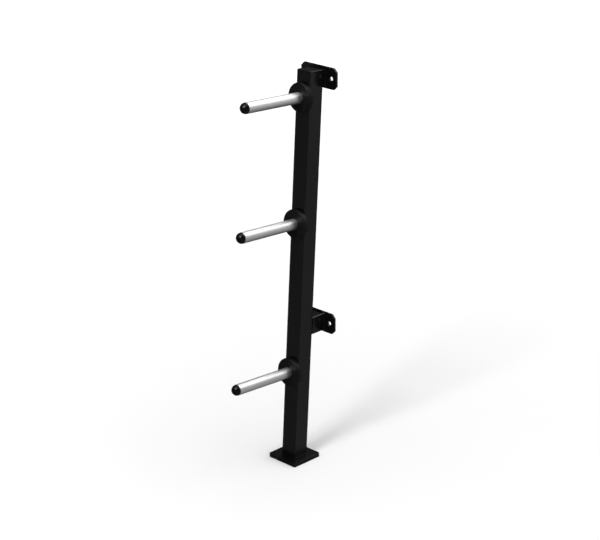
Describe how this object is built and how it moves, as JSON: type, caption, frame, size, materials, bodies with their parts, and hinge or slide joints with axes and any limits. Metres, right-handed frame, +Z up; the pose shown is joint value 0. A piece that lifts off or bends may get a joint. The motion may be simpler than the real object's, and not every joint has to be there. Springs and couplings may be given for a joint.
{
  "type": "wall-mounted plate holder",
  "caption": "Leaning black square upright on a foot plate, bolted to a wall by eared plates, with steel pegs and rubber bumpers for weight plates.",
  "frame": {"origin": "centre of the foot plate's underside, on the floor", "axes": "+Z up, +Y towards the wall, +X along the wall to the right for someone facing it; the pegs point towards -Y and slightly up"},
  "size_m": [0.128, 0.3318, 1.1094],
  "materials": {
    "black_powder_coat": "gloss black powder coat",
    "satin_peg_steel": "satin, turned",
    "black_rubber": "smooth moulded",
    "black_plastic": "moulded, semi-gloss",
    "zinc_plated_steel": "bright zinc"
  },
  "bodies": {
    "root": {"upright_tube": "black_powder_coat", "top_plate": "black_powder_coat", "foot_plate": "black_powder_coat", "foot_weld": "black_powder_coat", "upper_wall_plate": "black_powder_coat", "head_packer": "black_powder_coat", "head_weld": "black_powder_coat", "lower_wall_plate": "black_powder_coat", "lower_stub": "black_powder_coat", "stub_rear_weld": "black_powder_coat", "stub_upper_weld": "black_powder_coat", "stub_lower_weld": "black_powder_coat", "bottom_peg_tube": "satin_peg_steel", "bottom_peg_bumper": "black_rubber", "bottom_peg_end_cap": "black_plastic", "bottom_peg_boss": "zinc_plated_steel", "bottom_peg_bolt": "zinc_plated_steel", "bottom_peg_washer": "zinc_plated_steel", "middle_peg_tube": "satin_peg_steel", "middle_peg_bumper": "black_rubber", "middle_peg_end_cap": "black_plastic", "middle_peg_boss": "zinc_plated_steel", "middle_peg_bolt": "zinc_plated_steel", "middle_peg_washer": "zinc_plated_steel", "top_peg_tube": "satin_peg_steel", "top_peg_bumper": "black_rubber", "top_peg_end_cap": "black_plastic", "top_peg_boss": "zinc_plated_steel", "top_peg_bolt": "zinc_plated_steel", "top_peg_washer": "zinc_plated_steel"}
  },
  "joints": []
}
